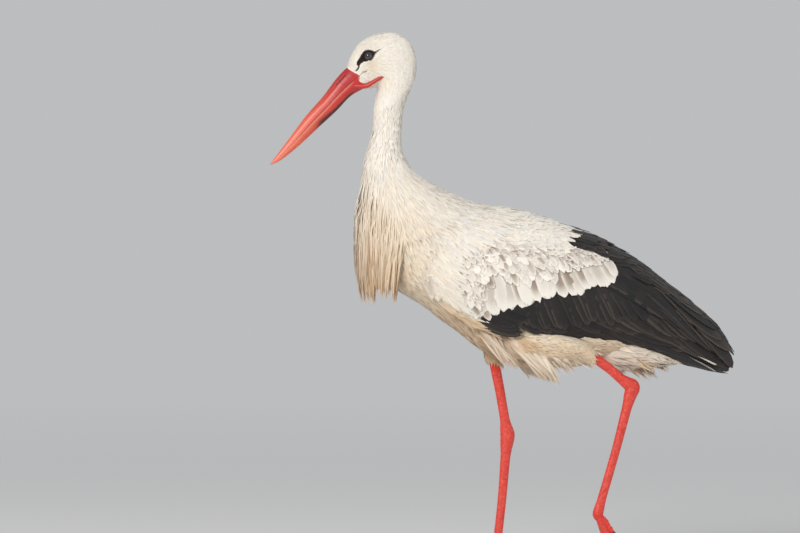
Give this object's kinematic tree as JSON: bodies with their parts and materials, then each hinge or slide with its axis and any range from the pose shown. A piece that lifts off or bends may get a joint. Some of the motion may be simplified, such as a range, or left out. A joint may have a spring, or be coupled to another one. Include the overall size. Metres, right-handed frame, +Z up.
{
  "type": "white stork",
  "caption": "White stork in mid-stride as a life-size still model: closed wings, hanging breast plumes, dagger bill pointed down ahead, one foot planted and one on its toe tips.",
  "frame": {"origin": "on the floor, at the middle of the whole bird's box in X and Y", "axes": "+Z up, -Y the way the bird faces, +X the bird's left side"},
  "size_m": [0.1904, 0.713, 0.8165],
  "materials": {
    "bill_horn": "satin horn, deep red at the face, paler orange red towards the tip",
    "white_plumage": "soft white contour feathers with warm shading",
    "breast_plumes": "long loose white plumes stained tan",
    "flight_feathers": "black vanes with a brown-grey sheen on their edges",
    "leg_skin": "red scaled skin with a slight gloss",
    "claw_horn": "dark horn",
    "eye": "wet gloss, dark brown"
  },
  "bodies": {
    "root": {"bill_upper": "bill_horn", "bill_lower": "bill_horn", "head": "white_plumage", "neck_upper": "white_plumage", "neck_middle": "white_plumage", "neck_lower": "white_plumage", "trunk": "white_plumage", "tail": "white_plumage", "undertail_coverts": "white_plumage", "thigh_left": "white_plumage", "thigh_right": "white_plumage", "wing_coverts_left": "white_plumage", "wing_coverts_right": "white_plumage", "breast_plumes": "breast_plumes", "wing_alula_left": "flight_feathers", "wing_scapulars_left": "flight_feathers", "wing_secondaries_left": "flight_feathers", "wing_primaries_left": "flight_feathers", "wing_alula_right": "flight_feathers", "wing_scapulars_right": "flight_feathers", "wing_secondaries_right": "flight_feathers", "wing_primaries_right": "flight_feathers", "tibia_left": "leg_skin", "tarsus_left": "leg_skin", "toe_inner_left": "leg_skin", "toe_middle_left": "leg_skin", "toe_outer_left": "leg_skin", "toe_hind_left": "leg_skin", "tibia_right": "leg_skin", "tarsus_right": "leg_skin", "toe_inner_right": "leg_skin", "toe_middle_right": "leg_skin", "toe_outer_right": "leg_skin", "toe_hind_right": "leg_skin", "claw_inner_left": "claw_horn", "claw_middle_left": "claw_horn", "claw_outer_left": "claw_horn", "claw_hind_left": "claw_horn", "claw_inner_right": "claw_horn", "claw_middle_right": "claw_horn", "claw_outer_right": "claw_horn", "claw_hind_right": "claw_horn", "eye_left": "eye", "eye_right": "eye"}
  },
  "joints": []
}
